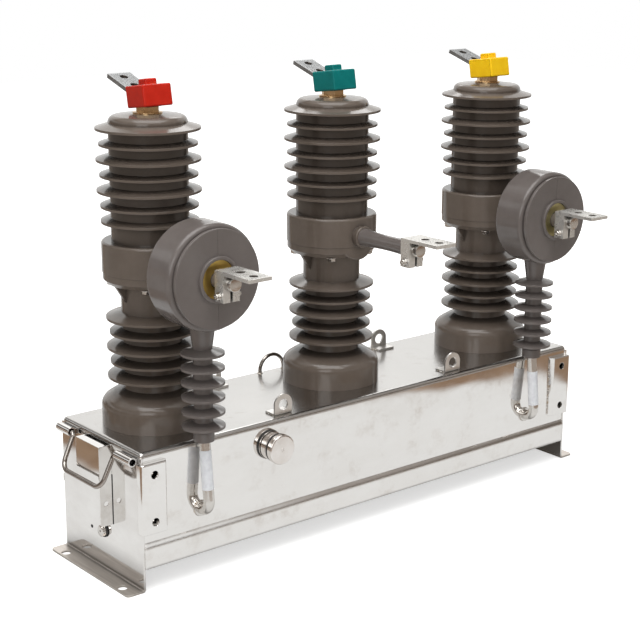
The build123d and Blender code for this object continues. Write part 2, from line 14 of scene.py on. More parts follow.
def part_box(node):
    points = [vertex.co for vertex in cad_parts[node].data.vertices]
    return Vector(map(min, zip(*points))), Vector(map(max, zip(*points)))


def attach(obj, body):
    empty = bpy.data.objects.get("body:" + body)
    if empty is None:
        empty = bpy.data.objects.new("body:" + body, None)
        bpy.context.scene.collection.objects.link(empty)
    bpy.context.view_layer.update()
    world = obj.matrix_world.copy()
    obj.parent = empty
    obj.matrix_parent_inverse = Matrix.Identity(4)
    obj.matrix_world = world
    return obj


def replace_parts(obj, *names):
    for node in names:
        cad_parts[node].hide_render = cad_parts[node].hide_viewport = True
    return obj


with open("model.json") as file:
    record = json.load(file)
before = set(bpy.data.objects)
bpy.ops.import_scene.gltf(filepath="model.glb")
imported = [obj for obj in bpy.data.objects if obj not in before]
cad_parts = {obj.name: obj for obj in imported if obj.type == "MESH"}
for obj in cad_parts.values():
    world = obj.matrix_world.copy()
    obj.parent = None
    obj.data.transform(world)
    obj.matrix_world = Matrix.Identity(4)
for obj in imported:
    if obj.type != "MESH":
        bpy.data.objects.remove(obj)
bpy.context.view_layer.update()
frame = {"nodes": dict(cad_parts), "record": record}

nodes = frame["nodes"]
mounts = {mount["name"]: mount for mount in frame["record"]["mounts"]}
MM = 0.001
pole_names = ("left", "middle", "right")
outer_names = ("left", "right")

# Camera
camera_place = Vector((-1.4964, -1.7799, 0.9339))
camera_yaw = math.radians(39.48)
camera_pitch = math.radians(15.10)
camera_roll = 0.0054
camera_lens = 84.3
camera_sensor = 36.0

# Studio
floor_half = 6.0
floor_drop = 0.2 * MM
floor_near = 0.9
floor_far = 1.7
floor_glow = 0.58
mirror_glow = 0.66
paper_left = -0.78
paper_left_slant = 0.233
paper_right = 0.80
paper_front = -0.660
paper_slant = 0.214
paper_edge = 0.02
boards_end = 0.30
boards_fade = 0.10
shade_half = (0.44, 0.10)
shade_edge = 0.06
studio_white = (0.92, 0.915, 0.905, 1.0)
studio_bright = (1.14, 1.135, 1.12, 1.0)
studio_softbox = (1.35, 1.335, 1.31, 1.0)
studio_brown = (0.26, 0.150, 0.085, 1.0)
studio_tan = (0.46, 0.31, 0.20, 1.0)
studio_taupe = (0.15, 0.128, 0.108, 1.0)
studio_mauve = (0.40, 0.36, 0.33, 1.0)
studio_far = (0.42, 0.345, 0.285, 1.0)
studio_dark = (0.060, 0.052, 0.045, 1.0)
studio_grey = (0.17, 0.148, 0.128, 1.0)
plain_white = (1.0, 1.0, 1.0, 1.0)
paper_dull = (0.79, 0.79, 0.78, 1.0)
paper_clean = (0.81, 0.81, 0.80, 1.0)
paper_mirrored = (1.0, 0.995, 0.985, 1.0)
dim_paper = (0.22, 0.22, 0.215, 1.0)
dim_boards = (0.06, 0.045, 0.035, 1.0)
world_level = 0.40
front_start = 0.0
front_full = -0.3
left_start = 0.0
left_full = -0.2
window_side = 0.53
window_fade = 0.06

# Bands of the surround as mirrors see it: height of the sight line, then colour
low_bands = ((0.0, studio_brown), (0.08, studio_dark))
high_bands = ((0.72, studio_mauve), (0.88, studio_white))
back_bands = (
    (0.0, studio_bright), (0.42, studio_bright), (0.47, studio_softbox), (0.57, studio_softbox),
    (0.64, studio_grey), (0.72, studio_dark), (0.80, studio_grey), (0.88, studio_white),
)
front_bands = low_bands + ((0.235, studio_taupe), (0.275, studio_mauve)) + high_bands
window_bands = low_bands + (
    (0.20, studio_dark), (0.25, studio_white), (0.38, studio_white), (0.44, studio_mauve),
) + high_bands
left_bands = low_bands + (
    (0.22, studio_dark), (0.28, studio_white), (0.40, studio_white), (0.46, studio_dark),
    (0.60, studio_grey), (0.75, studio_white),
)

# Lamps: name, place, size and energy
lamp_aim = (0, 0, 0.35)
lamps = (
    ("key", (-0.5, -0.6, 2.6), (2.4, 2.0), 54.0),
    ("fill", (-2.2, -1.6, 1.3), (1.4, 1.4), 14.0),
    ("rim", (1.5, 1.9, 2.5), (1.4, 1.4), 14.0),
)


def box_of(name):
    """Lowest corner, highest corner and middle of a node."""
    low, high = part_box(name)
    return low, high, (low + high) / 2


housing_low, housing_high = box_of("housing")[:2]
lid_top = box_of("lid")[1].z


# Values that the finishes share
bevel_samples = 4
# Samples and range of the painted shade in crevices
crevice_samples = 12
crevice_closed = 0.30
crevice_open = 0.92
black = (0.0, 0.0, 0.0, 1.0)


class Nodes:
    """The node tree of a material or a world, with short calls for the nodes that they share."""

    def __init__(self, owner, coordinates):
        owner.use_nodes = True
        self.tree = owner.node_tree
        self.place = self.node("ShaderNodeTexCoord").outputs[coordinates]

    def node(self, kind, **settings):
        made = self.tree.nodes.new(kind)
        for key, value in settings.items():
            setattr(made, key, value)
        return made

    def link(self, source, target):
        self.tree.links.new(source, target)

    def put(self, socket, value):
        """Sets a plain value on a socket, or links another node's output to it."""
        if isinstance(value, (int, float, tuple)):
            socket.default_value = value
        else:
            self.link(value, socket)

    def split(self):
        parts = self.node("ShaderNodeSeparateXYZ")
        self.link(self.place, parts.inputs["Vector"])
        return parts.outputs

    def noise(self, scale, detail, rough, stretch=None):
        texture = self.node("ShaderNodeTexNoise")
        texture.inputs["Scale"].default_value = scale
        texture.inputs["Detail"].default_value = detail
        texture.inputs["Roughness"].default_value = rough
        vector = self.place
        if stretch:
            mapping = self.node("ShaderNodeMapping")
            mapping.inputs["Scale"].default_value = stretch
            self.link(self.place, mapping.inputs["Vector"])
            vector = mapping.outputs["Vector"]
        self.link(vector, texture.inputs["Vector"])
        return texture.outputs["Fac"]

    def ramp(self, fac, stops):
        ramp = self.node("ShaderNodeValToRGB")
        elements = ramp.color_ramp.elements
        while len(elements) < len(stops):
            elements.new(0.5)
        for element, (position, colour) in zip(elements, stops):
            element.position = position
            element.color = colour
        self.link(fac, ramp.inputs["Fac"])
        return ramp.outputs["Color"]

    def span(self, fac, low, high, start=0.35, stop=0.65):
        """A factor stretched from start..stop to low..high."""
        fit = self.node("ShaderNodeMapRange")
        for key, value in (("From Min", start), ("From Max", stop), ("To Min", low), ("To Max", high)):
            fit.inputs[key].default_value = value
        self.link(fac, fit.inputs["Value"])
        return fit.outputs["Result"]

    def math(self, operation, *values):
        made = self.node("ShaderNodeMath", operation=operation)
        for socket, value in zip(made.inputs, values):
            self.put(socket, value)
        return made.outputs["Value"]

    def mix(self, fac, a, b):
        """Colour a where fac is 0 and colour b where it is 1."""
        mix = self.node("ShaderNodeMix", data_type="RGBA")
        for socket, value in ((mix.inputs[0], fac), (mix.inputs[6], a), (mix.inputs[7], b)):
            self.put(socket, value)
        return mix.outputs[2]

    def background(self, colour):
        made = self.node("ShaderNodeBackground")
        self.put(made.inputs["Color"], colour)
        return made.outputs["Background"]

    def choose(self, fac, a, b):
        """Shader a where fac is 0 and shader b where it is 1."""
        made = self.node("ShaderNodeMixShader")
        for socket, value in zip(made.inputs, (fac, a, b)):
            self.link(value, socket)
        return made.outputs["Shader"]


class Graph(Nodes):
    """A material with a principled shader, and short calls for what only surfaces have."""

    def __init__(self, name):
        self.material = bpy.data.materials.new(name)
        super().__init__(self.material, "Object")
        self.shader = self.tree.nodes["Principled BSDF"]

    def set(self, **values):
        """Sets the shader's sockets by name, such as base_color for Base Color."""
        for key, value in values.items():
            self.put(self.shader.inputs[key.replace("_", " ").title()], value)

    def sheen(self, level):
        self.shader.inputs["Specular IOR Level"].default_value = level

    def rounded(self, radius):
        bevel = self.node("ShaderNodeBevel", samples=bevel_samples)
        bevel.inputs["Radius"].default_value = radius
        return bevel.outputs["Normal"]

    def crevice_shade(self, reach, low, alone=True):
        """A factor of painted shade, which falls to low where the part closes in on itself, or on its
        neighbours too.
        """
        shade = self.node("ShaderNodeAmbientOcclusion", samples=crevice_samples, only_local=alone)
        shade.inputs["Distance"].default_value = reach
        return self.span(shade.outputs["AO"], low, 1.0, crevice_closed, crevice_open)

    def darken(self, colour, factor):
        return self.mix(factor, black, colour)

    def bump(self, height, distance, strength, normal=None):
        bump = self.node("ShaderNodeBump")
        bump.inputs["Strength"].default_value = strength
        bump.inputs["Distance"].default_value = distance
        self.link(height, bump.inputs["Height"])
        if normal:
            self.link(normal, bump.inputs["Normal"])
        return bump.outputs["Normal"]


# Finishes
flange_top = 4.0 * MM
bend_top = 7.0 * MM
# Reaches of the painted shade in crevices, one for each finish that has it
plate_shade_reach = 12.0 * MM
cap_shade_reach = 4.0 * MM
resin_shade_reach = 34.0 * MM
tin_shade_reach = 9.0 * MM
turning_rate = 9000.0
resin_sheen = 0.42
silicone_sheen = 0.22
sheet_bright = (0.83, 0.82, 0.805, 1.0)


def polished_steel(name, rounding):
    """Mirror sheet with slight waves and wiped smears."""
    g = Graph(name)
    smear = g.noise(9.0, 5.0, 0.6, (1.0, 1.0, 2.2))
    stain = g.noise(26.0, 4.0, 0.7)
    warm = g.ramp(stain, ((0.52, (0.80, 0.785, 0.765, 1.0)), (0.74, (0.66, 0.62, 0.58, 1.0))))
    g.set(metallic=1.0, base_color=g.mix(g.span(smear, 0.0, 1.0), sheet_bright, warm))
    g.set(roughness=g.span(smear, 0.035, 0.11))
    waves = g.bump(g.noise(5.0, 1.0, 0.4), 0.9 * MM, 0.6, g.rounded(rounding))
    g.set(normal=g.bump(g.noise(700.0, 2.0, 0.5, (0.06, 1.0, 1.0)), 0.02 * MM, 0.2, waves))
    return g.material


def plate_steel():
    """End plate: mirror sheet above the bend and a satin foot flange below it, with painted shade that
    darkens its crevices and bores.
    """
    g = Graph("plate_steel")
    flange = g.span(g.split()["Z"], 1.0, 0.0, flange_top, bend_top)
    smear = g.noise(10.0, 5.0, 0.6, (1.0, 1.0, 2.0))
    brush = g.noise(260.0, 3.0, 0.6, (1.0, 0.05, 1.0))
    satin = g.ramp(brush, ((0.3, (0.57, 0.52, 0.475, 1.0)), (0.7, (0.72, 0.67, 0.62, 1.0))))
    mirror = g.ramp(smear, ((0.35, sheet_bright), (0.7, (0.74, 0.72, 0.70, 1.0))))
    # Painted shade: the colour falls almost to black in the plate's crevices and bores
    clear = g.crevice_shade(plate_shade_reach, 0.08)
    g.set(metallic=1.0, base_color=g.darken(g.mix(flange, mirror, satin), clear))
    satin_rough = g.math("MULTIPLY", flange, g.span(brush, 0.26, 0.40))
    g.set(roughness=g.math("ADD", satin_rough, g.span(smear, 0.03, 0.10)))
    waves = g.bump(g.noise(6.0, 1.0, 0.4), 0.8 * MM, 0.5, g.rounded(1.0 * MM))
    g.set(normal=g.bump(brush, 0.03 * MM, 0.3, waves))
    return g.material


def lid_steel():
    """Top sheet: fine-ground, so that only what stands close is mirrored, with scratches and rub marks."""
    g = Graph("lid_steel")
    smear = g.noise(11.0, 5.0, 0.6)
    scratch = g.noise(330.0, 2.0, 0.6, (0.04, 1.0, 1.0))
    wear = g.noise(60.0, 4.0, 0.7)
    rub = g.ramp(wear, ((0.58, (0.57, 0.56, 0.545, 1.0)), (0.76, (0.44, 0.40, 0.365, 1.0))))
    g.set(metallic=1.0, base_color=g.mix(g.span(smear, 0.15, 0.9), (0.585, 0.575, 0.56, 1.0), rub))
    g.set(roughness=g.span(smear, 0.16, 0.26))
    waves = g.bump(g.noise(5.0, 1.0, 0.4), 0.9 * MM, 0.5, g.rounded(1.1 * MM))
    g.set(normal=g.bump(scratch, 0.03 * MM, 0.25, waves))
    return g.material


def satin_steel(name, low, high, rough):
    """Rods, tubes and lugs with a drawn, half-bright surface."""
    g = Graph(name)
    grain = g.noise(420.0, 3.0, 0.6, (1.0, 1.0, 0.08))
    cloud = g.noise(30.0, 4.0, 0.6)
    g.set(metallic=1.0)
    g.set(base_color=g.ramp(cloud, ((0.3, low), (0.7, high))))
    g.set(roughness=g.span(cloud, rough, rough + 0.10))
    g.set(normal=g.bump(grain, 0.03 * MM, 0.3, g.rounded(0.8 * MM)))
    return g.material


def turned_steel():
    """Screw cap: rings of turning marks about the cap's own axis, a little duller than the wall, with painted
    shade in its grooves.
    """
    g = Graph("turned_steel")
    middle = box_of("connector_cap")[2]
    axes = g.split()
    across = g.math("SUBTRACT", axes["X"], middle.x)
    above = g.math("SUBTRACT", axes["Z"], middle.z)
    squares = [g.math("MULTIPLY", side, side) for side in (across, above)]
    radius = g.math("SQRT", g.math("ADD", *squares))
    ring = g.math("SINE", g.math("MULTIPLY", radius, turning_rate))
    patch = g.noise(45.0, 4.0, 0.6)
    warm = g.ramp(patch, ((0.35, (0.72, 0.675, 0.635, 1.0)), (0.65, (0.84, 0.81, 0.785, 1.0))))
    # Painted shade: the colour darkens in the cap's grooves
    g.set(metallic=1.0, base_color=g.darken(warm, g.crevice_shade(cap_shade_reach, 0.55)))
    g.set(roughness=g.span(patch, 0.10, 0.20))
    g.set(normal=g.bump(ring, 0.02 * MM, 0.25, g.rounded(0.9 * MM)))
    return g.material


def epoxy_resin(name, low, high, gap):
    """Cast outdoor resin: a clouded taupe with faint draw marks, a soft sheen, and painted shade between the
    sheds.
    """
    g = Graph(name)
    cloud = g.noise(14.0, 5.0, 0.62)
    marks = g.noise(46.0, 3.0, 0.6, (1.0, 1.0, 0.07))
    speck = g.noise(900.0, 2.0, 0.5)
    base = g.ramp(cloud, ((0.32, low), (0.68, high)))
    streaked = g.mix(g.span(marks, 0.0, 0.06, 0.52, 0.75), base, (0.24, 0.21, 0.19, 1.0))
    dusty = g.mix(g.span(speck, 0.0, 0.08, 0.62, 0.78), streaked, (0.30, 0.27, 0.245, 1.0))
    # Painted shade: the colour falls to gap between the sheds and under the collars
    g.set(base_color=g.darken(dusty, g.crevice_shade(resin_shade_reach, gap)))
    g.set(roughness=g.math("ADD", g.span(cloud, 0.11, 0.17), g.span(marks, 0.0, 0.04)))
    g.sheen(resin_sheen)
    peel = g.bump(g.noise(120.0, 2.0, 0.5), 0.08 * MM, 0.10, g.rounded(0.8 * MM))
    g.set(normal=g.bump(speck, 0.02 * MM, 0.08, peel))
    return g.material


def tinned_copper(name, low, high, rough):
    """Dull silvery tin plate with a sanded grain, and painted shade in its slots, holes and corners."""
    g = Graph(name)
    grain = g.noise(240.0, 2.0, 0.5, (1.0, 0.2, 1.0))
    cloud = g.noise(40.0, 3.0, 0.5)
    # Painted shade: the colour darkens where this part or its neighbours close in, in slots and holes
    clear = g.crevice_shade(tin_shade_reach, 0.22, alone=False)
    g.set(metallic=0.7, base_color=g.darken(g.ramp(cloud, ((0.3, low), (0.7, high))), clear))
    g.set(roughness=g.span(cloud, rough, rough + 0.10))
    g.set(normal=g.bump(grain, 0.01 * MM, 0.15))
    return g.material


def plated_metal(name, low, high, rough):
    """A bright metal with cloudy plating and turning marks."""
    g = Graph(name)
    cloud = g.noise(75.0, 4.0, 0.6)
    turning = g.noise(500.0, 2.0, 0.5, (1.0, 1.0, 0.1))
    g.set(metallic=1.0, base_color=g.ramp(cloud, ((0.32, low), (0.68, high))))
    g.set(roughness=g.span(cloud, rough, rough + 0.14))
    g.set(normal=g.bump(turning, 0.03 * MM, 0.3, g.rounded(0.5 * MM)))
    return g.material


def silicone(name, low, high, pale):
    """Moulded silicone with a fine satin skin, paler along its edges."""
    g = Graph(name)
    cloud = g.noise(70.0, 4.0, 0.6)
    skin = g.noise(1300.0, 2.0, 0.5)
    edge = g.node("ShaderNodeNewGeometry").outputs["Pointiness"]
    base = g.ramp(cloud, ((0.30, low), (0.70, high)))
    g.set(base_color=g.mix(g.span(edge, 0.0, 0.6, 0.53, 0.64), base, pale))
    g.set(roughness=g.span(cloud, 0.30, 0.40), subsurface_weight=0.05, subsurface_scale=2.0 * MM)
    g.sheen(silicone_sheen)
    g.set(normal=g.bump(skin, 0.03 * MM, 0.25, g.rounded(1.2 * MM)))
    return g.material


def sleeve_plastic():
    """Plain white shrink sleeve with faint ripples."""
    g = Graph("sleeve_plastic")
    cloud = g.noise(120.0, 3.0, 0.6)
    ripple = g.noise(160.0, 2.0, 0.5, (1.0, 1.0, 0.35))
    g.set(base_color=g.ramp(cloud, ((0.3, (0.66, 0.67, 0.70, 1.0)), (0.7, (0.80, 0.81, 0.83, 1.0)))))
    g.set(roughness=g.span(cloud, 0.28, 0.40), normal=g.bump(ripple, 0.12 * MM, 0.5))
    return g.material


def dark_rubber():
    """Black seal rubber with a dusty bloom."""
    g = Graph("dark_rubber")
    cloud = g.noise(300.0, 3.0, 0.6)
    g.set(base_color=g.ramp(cloud, ((0.3, (0.010, 0.010, 0.011, 1.0)), (0.7, (0.03, 0.029, 0.028, 1.0)))))
    g.set(roughness=g.span(cloud, 0.45, 0.65))
    return g.material


def weld_metal():
    """Weld beads with heat colours from straw to brown."""
    g = Graph("weld_metal")
    heat = g.noise(110.0, 3.0, 0.6)
    dark = (0.22, 0.19, 0.17, 1.0)
    bright = (0.70, 0.67, 0.63, 1.0)
    straw = (0.46, 0.36, 0.26, 1.0)
    g.set(metallic=1.0, base_color=g.ramp(heat, ((0.32, dark), (0.50, bright), (0.68, straw))))
    g.set(roughness=g.span(heat, 0.16, 0.34))
    g.set(normal=g.bump(g.noise(700.0, 2.0, 0.5), 0.06 * MM, 0.4))
    return g.material


finishes = {
    "polished": polished_steel("polished_steel", 1.1 * MM),
    "pan": polished_steel("pan_steel", 6.0 * MM),
    "cap": turned_steel(),
    "plate": plate_steel(),
    "satin": satin_steel("satin_steel", (0.62, 0.595, 0.565, 1.0), (0.76, 0.74, 0.71, 1.0), 0.15),
    "lug": satin_steel("lug_steel", (0.72, 0.70, 0.67, 1.0), (0.84, 0.82, 0.79, 1.0), 0.30),
    "rod": satin_steel("rod_steel", (0.32, 0.29, 0.265, 1.0), (0.42, 0.385, 0.355, 1.0), 0.15),
    # The last value of a resin finish is how dark its painted shade gets in the gaps
    "pole": epoxy_resin("pole_resin", (0.108, 0.085, 0.068, 1.0), (0.134, 0.107, 0.088, 1.0), 0.38),
    "coil": epoxy_resin("coil_resin", (0.127, 0.109, 0.101, 1.0), (0.152, 0.132, 0.123, 1.0), 0.95),
    "tinned": tinned_copper("tinned_copper", (0.68, 0.665, 0.63, 1.0), (0.76, 0.745, 0.71, 1.0), 0.22),
    "dull_tin": tinned_copper("dull_tin", (0.22, 0.225, 0.225, 1.0), (0.30, 0.305, 0.305, 1.0), 0.36),
    "knurl": tinned_copper("knurled_tin", (0.56, 0.55, 0.52, 1.0), (0.66, 0.65, 0.62, 1.0), 0.26),
    # Dark tin of the rings that paint shade into the pads' bolt holes
    "bore_shade": tinned_copper("painted_bore_shade", (0.10, 0.088, 0.076, 1.0), (0.16, 0.142, 0.126, 1.0), 0.40),
    "lid": lid_steel(),
    "zinc": plated_metal("zinc_screw", (0.60, 0.58, 0.55, 1.0), (0.78, 0.76, 0.73, 1.0), 0.14),
    "brass": plated_metal("brass_nut", (0.62, 0.43, 0.23, 1.0), (0.78, 0.57, 0.33, 1.0), 0.20),
    "passivated": plated_metal("yellow_plating", (0.56, 0.40, 0.11, 1.0), (0.66, 0.48, 0.15, 1.0), 0.30),
    "pale_plating": plated_metal("pale_plating", (0.56, 0.51, 0.25, 1.0), (0.68, 0.63, 0.36, 1.0), 0.30),
    "red": silicone(
        "cover_red_skin", (0.44, 0.013, 0.004, 1.0), (0.52, 0.018, 0.006, 1.0), (0.78, 0.09, 0.03, 1.0)
    ),
    "green": silicone(
        "cover_green_skin", (0.0, 0.142, 0.134, 1.0), (0.001, 0.176, 0.166, 1.0), (0.02, 0.40, 0.36, 1.0)
    ),
    "yellow": silicone(
        "cover_yellow_skin", (0.88, 0.52, 0.004, 1.0), (0.94, 0.58, 0.007, 1.0), (0.98, 0.76, 0.10, 1.0)
    ),
    "sleeve": sleeve_plastic(),
    "rubber": dark_rubber(),
    "weld": weld_metal(),
}

# The first prefix that fits names a node's finish, and the rest are polished
node_finishes = (
    ("end_plate", "plate"), ("pole_", "pole"), ("bushing_arm", "coil"), ("current_transformer", "coil"),
    ("front_terminal", "tinned"), ("top_terminal", "dull_tin"), ("conductor_rod", "zinc"), ("lid", "lid"),
    ("terminal_nut", "brass"), ("ct_retainer_left", "passivated"), ("ct_retainer_right", "pale_plating"),
    ("terminal_cover_red", "red"), ("terminal_cover_green", "green"), ("terminal_cover_yellow", "yellow"),
    ("lifting_lug", "lug"), ("rear_ring", "rod"), ("bail_handle", "rod"), ("conduit", "satin"),
    ("end_plug", "satin"), ("base_pan", "pan"), ("connector_cap", "cap"),
)


def dress_nodes():
    for name, node in nodes.items():
        found = [finish for prefix, finish in node_finishes if name.startswith(prefix)]
        node.data.materials.clear()
        node.data.materials.append(finishes[found[0] if found else "polished"])


# Mesh helpers, with shares of the sizes that they are given
seal_sides = 12
rim_bend_share = 0.3
hex_rim_share = 0.8
hex_top_share = 0.87
washer_edge_share = 0.2
bead_sides = 10
bead_jitter = 0.06
bead_ripple_share = 1.3
bead_step_share = 0.3
bead_low_share = 0.80
bead_swell_share = 0.24
bead_end_share = 0.5
bead_least = 3
loop_ripple_share = 0.85
loop_step_share = 0.35
loop_low_share = 0.82
loop_swell_share = 0.22
loop_least = 24
knurl_half_share = 0.47
sunk_share = 0.1
crease_angle = 32.0


def frame_at(origin, z_axis, x_axis=None):
    """Matrix of a local frame with its Z along z_axis."""
    z = Vector(z_axis).normalized()
    guess = Vector(x_axis) if x_axis else z.orthogonal()
    x = (guess - z * guess.dot(z)).normalized()
    turn = Matrix((x, z.cross(x), z)).transposed().to_4x4()
    return Matrix.Translation(Vector(origin)) @ turn


def ring_of(mesh, place, radius, height, sides):
    ring = []
    for step in range(sides):
        angle = 2 * math.pi * step / sides
        point = Vector((radius * math.cos(angle), radius * math.sin(angle), height))
        ring.append(mesh.verts.new(place @ point))
    return ring


def join_rings(mesh, lower, upper):
    sides = len(lower)
    for step in range(sides):
        after = (step + 1) % sides
        mesh.faces.new((lower[step], lower[after], upper[after], upper[step]))


def lathe(mesh, profile, place, sides=48):
    """Turns (radius, height) points about the local Z of place and closes both ends."""
    rings = [ring_of(mesh, place, radius, height, sides) for radius, height in profile]
    for lower, upper in zip(rings, rings[1:]):
        join_rings(mesh, lower, upper)
    mesh.faces.new(list(reversed(rings[0])))
    mesh.faces.new(rings[-1])


def turned_ring(mesh, profile, place, sides=64):
    """Turns a closed (radius, height) outline that stays off the axis."""
    rings = [ring_of(mesh, place, radius, height, sides) for radius, height in profile]
    for lower, upper in zip(rings, rings[1:] + rings[:1]):
        join_rings(mesh, lower, upper)


def o_ring(mesh, place, radius, rod):
    """A round seal whose middle line lies in the local XY plane."""
    steps = [2 * math.pi * step / seal_sides for step in range(seal_sides)]
    turned_ring(mesh, [(radius + rod * math.cos(a), rod * math.sin(a)) for a in steps], place)


def soft_rim(radius, height, edge):
    """The (radius, height) points of a turned end with a softened edge."""
    bend = rim_bend_share * edge
    return (radius, height - edge), (radius - bend, height - bend), (radius - edge, height)


def hex_head(mesh, place, flats, height):
    """Hexagonal head or nut with a chamfered top, standing on the local XY plane."""
    corner = flats / math.sqrt(3)
    profile = ((corner, 0), (corner, hex_rim_share * height), (hex_top_share * corner, height))
    lathe(mesh, profile, place, 6)


def washer(mesh, place, radius, height):
    edge = washer_edge_share * height
    profile = ((radius - edge, 0), (radius, edge), (radius, height - edge), (radius - edge, height))
    lathe(mesh, profile, place)


def raised(place, height):
    return place @ Matrix.Translation((0, 0, height))


def bead(mesh, path, radius, seed):
    """A weld bead: a rippled half-sunk rope along a line of points."""
    dice = random.Random(seed)
    ripple = bead_ripple_share * radius
    start = None
    for first, last in zip(path, path[1:]):
        run = Vector(last) - Vector(first)
        count = max(bead_least, round(run.length / (bead_step_share * radius)))
        for index in range(count + 1):
            along = run.length * index / count
            wave = bead_swell_share * abs(math.sin(math.pi * along / ripple))
            swell = bead_low_share + wave + dice.uniform(-bead_jitter, bead_jitter)
            if index in (0, count):
                swell *= bead_end_share
            place = frame_at(Vector(first) + run * (index / count), run)
            ring = ring_of(mesh, place, radius * swell, 0, bead_sides)
            if index == 0:
                mesh.faces.new(list(reversed(ring)))
            else:
                join_rings(mesh, start, ring)
            start = ring
        mesh.faces.new(start)


def bead_ring(mesh, place, radius, rod, seed):
    """A weld bead round a tube: a rippled ring in the local XY plane."""
    dice = random.Random(seed)
    count = max(loop_least, round(2 * math.pi * radius / (loop_step_share * rod)))
    rings = []
    for index in range(count):
        angle = 2 * math.pi * index / count
        wave = loop_swell_share * abs(math.sin(angle * radius / (loop_ripple_share * rod)))
        swell = loop_low_share + wave + dice.uniform(-bead_jitter, bead_jitter)
        out = Vector((math.cos(angle), math.sin(angle), 0))
        ring = []
        for step in range(bead_sides):
            turn = 2 * math.pi * step / bead_sides
            level = Vector((0, 0, rod * swell * math.sin(turn)))
            point = out * (radius + rod * swell * math.cos(turn)) + level
            ring.append(mesh.verts.new(place @ point))
        rings.append(ring)
    for lower, upper in zip(rings, rings[1:] + rings[:1]):
        join_rings(mesh, lower, upper)


def pyramids(mesh, place, width, length, pitch, height, holes, margin):
    """Diamond knurl on the local XY plane, from the origin, left bare round the holes."""
    step = pitch / 2
    half = knurl_half_share * pitch
    for row in range(int((length - pitch) / step) + 1):
        for column in range(int((width - pitch) / pitch) + 1):
            x = step + column * pitch + (step if row % 2 else 0)
            y = step + row * step
            if x + half > width or any(math.hypot(x - hx, y - hy) < margin for hx, hy in holes):
                continue
            corners = ((x - half, y), (x, y - half), (x + half, y), (x, y + half))
            base = [mesh.verts.new(place @ Vector((u, v, -sunk_share * height))) for u, v in corners]
            tip = mesh.verts.new(place @ Vector((x, y, height)))
            mesh.faces.new(list(reversed(base)))
            for index in range(4):
                mesh.faces.new((base[index], base[(index + 1) % 4], tip))


def piece(name, mesh, finish, body="base", crease=crease_angle):
    """Makes an object of a mesh, with its finish, and lets it ride on a body."""
    data = bpy.data.meshes.new(name)
    bmesh.ops.recalc_face_normals(mesh, faces=mesh.faces)
    mesh.to_mesh(data)
    mesh.free()
    data.materials.append(finishes[finish])
    for face in data.polygons:
        face.use_smooth = True
    data.set_sharp_from_angle(angle=math.radians(crease))
    made = bpy.data.objects.new(name, data)
    bpy.context.scene.collection.objects.link(made)
    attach(made, body)
    return made


# Sleeves and weld rings on the steel tubes
sleeve_length = 59.0 * MM
sleeve_wall = 0.45 * MM
sleeve_edge = 0.3 * MM
sleeve_middles = {"left": 168.0 * MM, "right": 156.0 * MM}
tube_radius = 8.2 * MM
tube_low_height = 104.0 * MM
tail_shed_radius = 31.5 * MM
tube_top_shift = 1.5 * MM
tube_lean = 11.0 * MM
tube_weld = 0.9 * MM


def make_tube_fittings():
    for name in outer_names:
        low, high, middle = box_of(f"conduit_{name}")
        top_y = box_of(f"current_transformer_{name}")[1].y - tail_shed_radius - tube_top_shift
        top = Vector((middle.x, top_y, high.z))
        foot = Vector((middle.x, top_y - tube_lean, tube_low_height))
        lean = (top - foot).normalized()
        along = (sleeve_middles[name] - foot.z) / lean.z
        place = frame_at(foot + lean * (along - sleeve_length / 2), lean)
        outer = tube_radius + sleeve_wall
        inner = tube_radius - sleeve_edge
        mesh = bmesh.new()
        turned_ring(
            mesh,
            ((inner, 0), (outer, sleeve_edge), (outer, sleeve_length - sleeve_edge), (inner, sleeve_length)),
            place,
        )
        piece(f"tube_sleeve_{name}", mesh, "sleeve")
        mesh = bmesh.new()
        ring_radius = (high.x - low.x) / 2
        root = frame_at((middle.x, housing_low.y, tube_low_height), (0, -1, 0))
        bead_ring(mesh, root, ring_radius, tube_weld, name)
        piece(f"tube_weld_{name}", mesh, "weld")


# Screws of the load clamps
clamp_depth = 19.5 * MM
clamp_screw_rise = 8.0 * MM
clamp_head_radius = 4.6 * MM
clamp_head = 5.0 * MM
clamp_socket_radius = 2.4 * MM
clamp_socket = 2.8 * MM
clamp_washer_radius = 5.8 * MM
clamp_washer = 1.2 * MM
clamp_nut_flats = 9.0 * MM
clamp_nut = 4.5 * MM
clamp_thread_radius = 2.9 * MM
clamp_thread = 2.6 * MM
head_rim_share = 0.88
head_top_share = 0.9
thread_rim_share = 0.95
thread_top_share = 0.8


def make_clamp_screws():
    for name in pole_names:
        low, high = box_of(f"front_terminal_{name}")[:2]
        rod_x = box_of(f"conductor_rod_{name}")[2].x
        half = rod_x - low.x
        y = high.y - clamp_depth / 2
        z = low.z + clamp_screw_rise
        mesh = bmesh.new()
        head = frame_at((low.x, y, z), (-1, 0, 0))
        washer(mesh, head, clamp_washer_radius, clamp_washer)
        lathe(
            mesh,
            ((clamp_head_radius, 0), (clamp_head_radius, head_rim_share * clamp_head),
             (head_top_share * clamp_head_radius, clamp_head),
             (clamp_socket_radius, clamp_head), (clamp_socket_radius, clamp_head - clamp_socket)),
            raised(head, clamp_washer),
        )
        tail = frame_at((rod_x + half, y, z), (1, 0, 0), (0, 0, 1))
        washer(mesh, tail, clamp_washer_radius, clamp_washer)
        hex_head(mesh, raised(tail, clamp_washer), clamp_nut_flats, clamp_nut)
        thread_end = clamp_nut + clamp_thread
        lathe(
            mesh,
            ((clamp_thread_radius, clamp_nut), (clamp_thread_radius, thread_rim_share * thread_end),
             (thread_top_share * clamp_thread_radius, thread_end)),
            raised(tail, clamp_washer),
        )
        piece(f"clamp_screw_{name}", mesh, "zinc")


